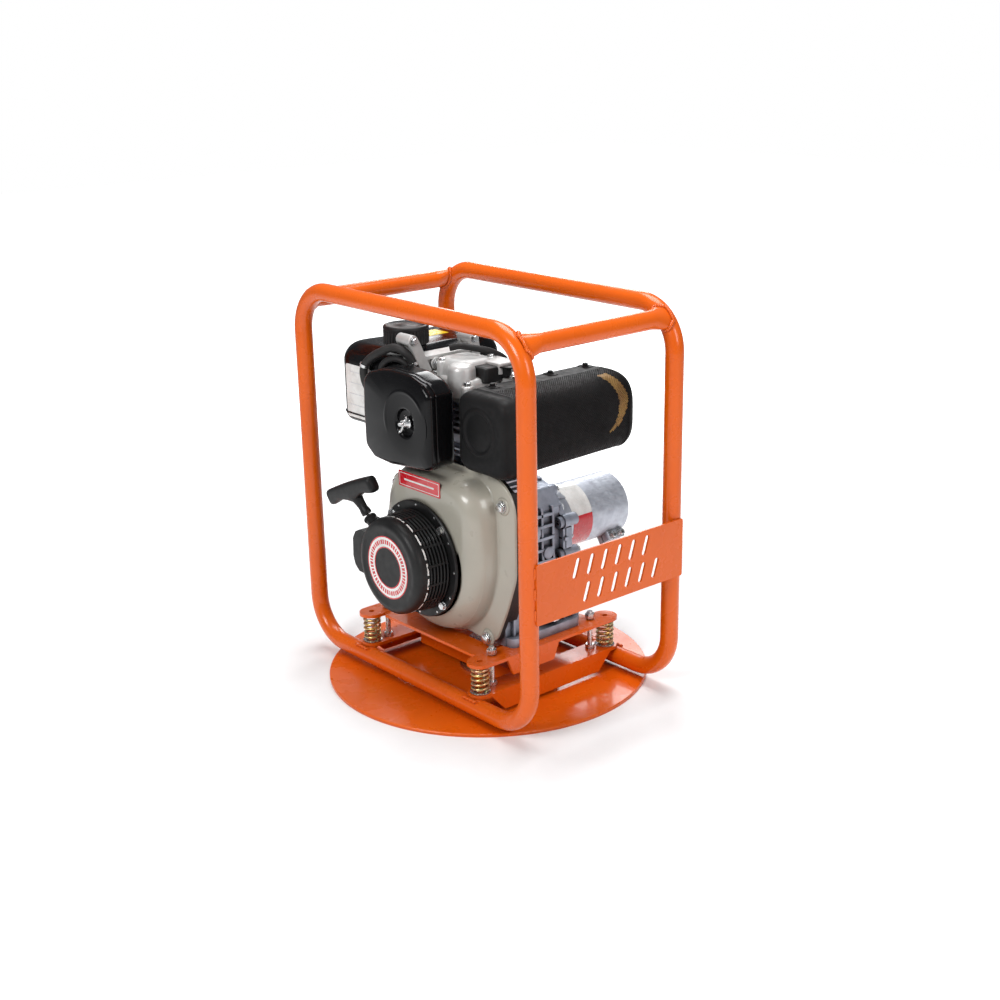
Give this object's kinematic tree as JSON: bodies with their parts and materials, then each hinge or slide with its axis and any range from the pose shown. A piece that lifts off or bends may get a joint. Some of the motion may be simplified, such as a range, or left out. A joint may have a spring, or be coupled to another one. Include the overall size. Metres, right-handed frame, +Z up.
{
  "type": "flexible-shaft drive unit",
  "caption": "Sprung single-cylinder diesel drive unit in a tubular roll frame on a swivelling round base, with a quick-coupling tube for a flexible shaft.",
  "frame": {"origin": "centre of the round base disc's underside, on the floor", "axes": "+Z up; +X towards the muffler side and the slotted side panel; -Y towards the recoil starter; +Y towards the coupling tube"},
  "size_m": [0.538, 0.508, 0.596],
  "materials": {
    "orange_powder_coat": "glossy orange powder coat",
    "turned_steel": "turned and ground",
    "bronze": "plain bearing bronze",
    "zinc_plate": "bright zinc plate",
    "yellow_zinc": "yellow zinc plate",
    "cast_aluminium": "as cast, lightly blasted",
    "cast_iron": "cast and turned",
    "warm_grey_paint": "satin warm grey paint",
    "black_paint": "satin black paint",
    "heat_tinted_steel": "straw heat tint",
    "spring_steel": "blued strip",
    "black_plastic": "moulded gloss black",
    "red_plastic": "moulded red",
    "filter_foam": "open-cell filter foam",
    "rope_nylon": "braided nylon",
    "black_rubber": "smooth rubber"
  },
  "bodies": {
    "base": {"base_disc": "orange_powder_coat", "swivel_post": "turned_steel", "thrust_washer": "bronze", "swivel_nut": "zinc_plate"},
    "roll_frame": {"front_hoop": "orange_powder_coat", "rear_hoop": "orange_powder_coat", "top_ties": "orange_powder_coat", "side_panel": "orange_powder_coat", "lower_rail_left": "orange_powder_coat", "lower_rail_right": "orange_powder_coat", "swivel_crossmember": "orange_powder_coat", "limit_bolts": "zinc_plate", "limit_nuts": "zinc_plate"},
    "engine": {"upper_rail_left": "orange_powder_coat", "upper_rail_right": "orange_powder_coat", "cross_straps": "orange_powder_coat", "isolator_springs": "yellow_zinc", "engine_mount_bolts": "zinc_plate", "crankcase": "cast_aluminium", "pto_cover": "cast_aluminium", "main_bearings": "turned_steel", "cylinder_barrel": "cast_aluminium", "cylinder_head": "cast_aluminium", "rocker_cover": "cast_aluminium", "coupling_housing": "cast_aluminium", "case_screws": "zinc_plate", "fan_shroud": "warm_grey_paint", "shroud_backplate": "black_paint", "recoil_housing": "black_paint", "cover_screws": "zinc_plate", "rewind_spring": "spring_steel", "air_cleaner_case": "black_plastic", "air_filter_element": "filter_foam", "muffler_front_cap": "black_paint", "muffler_guard": "black_paint", "muffler_body": "heat_tinted_steel", "fuel_tank": "black_paint", "tank_bracket": "cast_aluminium", "injection_pump": "cast_aluminium", "fuel_hose": "black_rubber", "drain_plug": "zinc_plate"},
    "piston_group": {"piston": "cast_aluminium", "wrist_pin": "turned_steel", "connecting_rod": "turned_steel", "crankpin": "turned_steel"},
    "crank_group": {"crankshaft": "turned_steel", "flywheel": "cast_iron", "starter_cup": "spring_steel", "drive_dog": "turned_steel"},
    "cam": {"camshaft": "turned_steel"},
    "reel": {"starter_reel": "black_plastic"},
    "pull_handle": {"starter_handle": "black_plastic", "starter_rope": "rope_nylon"},
    "air_cover": {"air_cleaner_cover": "black_plastic"},
    "air_wing_nut": {"wing_nut": "zinc_plate"},
    "tank_cap": {"fuel_cap": "black_plastic"},
    "fuel_tap": {"fuel_tap_lever": "red_plastic"},
    "decompressor": {"decompression_lever": "black_plastic"},
    "throttle": {"speed_lever": "zinc_plate"},
    "oil_cap": {"oil_filler_cap": "black_plastic"}
  },
  "joints": [
    {"name": "base_swivel", "type": "hinge", "parent": "base", "child": "roll_frame", "pos_m": [0, 0, 0], "axis": [0, 0, 1], "continuous": true},
    {"name": "cradle_bounce", "type": "slide", "parent": "roll_frame", "child": "engine", "axis": [0, 0, 1], "range_m": [-0.01, 0.0015], "deforming": ["isolator_springs"]},
    {"name": "piston_stroke", "type": "slide", "parent": "engine", "child": "piston_group", "axis": [0, 0, 1], "range_m": [-0.057, 0]},
    {"name": "crank_spin", "type": "hinge", "parent": "engine", "child": "crank_group", "pos_m": [0, 0, 0.212], "axis": [0, 1, 0], "continuous": true},
    {"name": "cam_spin", "type": "hinge", "parent": "engine", "child": "cam", "pos_m": [-0.0528, 0, 0.1724], "axis": [0, 1, 0], "continuous": true},
    {"name": "reel_spin", "type": "hinge", "parent": "engine", "child": "reel", "pos_m": [0, 0, 0.212], "axis": [0, 1, 0], "range_deg": [0, 720]},
    {"name": "handle_pull", "type": "slide", "parent": "engine", "child": "pull_handle", "axis": [-0.5, -0.8, 0.3317], "range_m": [0, 0.6005]},
    {"name": "air_cover_lift", "type": "slide", "parent": "engine", "child": "air_cover", "axis": [0, -1, 0], "range_m": [0, 0.045]},
    {"name": "wing_nut_turn", "type": "hinge", "parent": "air_cover", "child": "air_wing_nut", "pos_m": [0.005, -0.145, 0.422], "axis": [0, -1, 0], "continuous": true},
    {"name": "tank_cap_turn", "type": "hinge", "parent": "engine", "child": "tank_cap", "pos_m": [-0.112, -0.052, 0.506], "axis": [0, 0, 1], "range_deg": [0, 90]},
    {"name": "fuel_tap_turn", "type": "hinge", "parent": "engine", "child": "fuel_tap", "pos_m": [-0.14, 0.042, 0.368], "axis": [0, 1, 0], "range_deg": [0, 90]},
    {"name": "decompression_turn", "type": "hinge", "parent": "engine", "child": "decompressor", "pos_m": [0.036, 0.004, 0.47], "axis": [0, 0, 1], "range_deg": [0, 60]},
    {"name": "speed_lever_turn", "type": "hinge", "parent": "engine", "child": "throttle", "pos_m": [-0.126, 0.05, 0.218], "axis": [1, 0, 0], "range_deg": [0, 40]},
    {"name": "oil_cap_turn", "type": "hinge", "parent": "engine", "child": "oil_cap", "pos_m": [-0.126, 0.015, 0.17], "axis": [-1, 0, 0], "range_deg": [0, 720]}
  ],
  "couplings": [
    {"joint": "cam_spin", "follows": "crank_spin", "ratio": -0.5},
    {"joint": "handle_pull", "follows": "reel_spin", "m_per_rad": 0.04775}
  ]
}
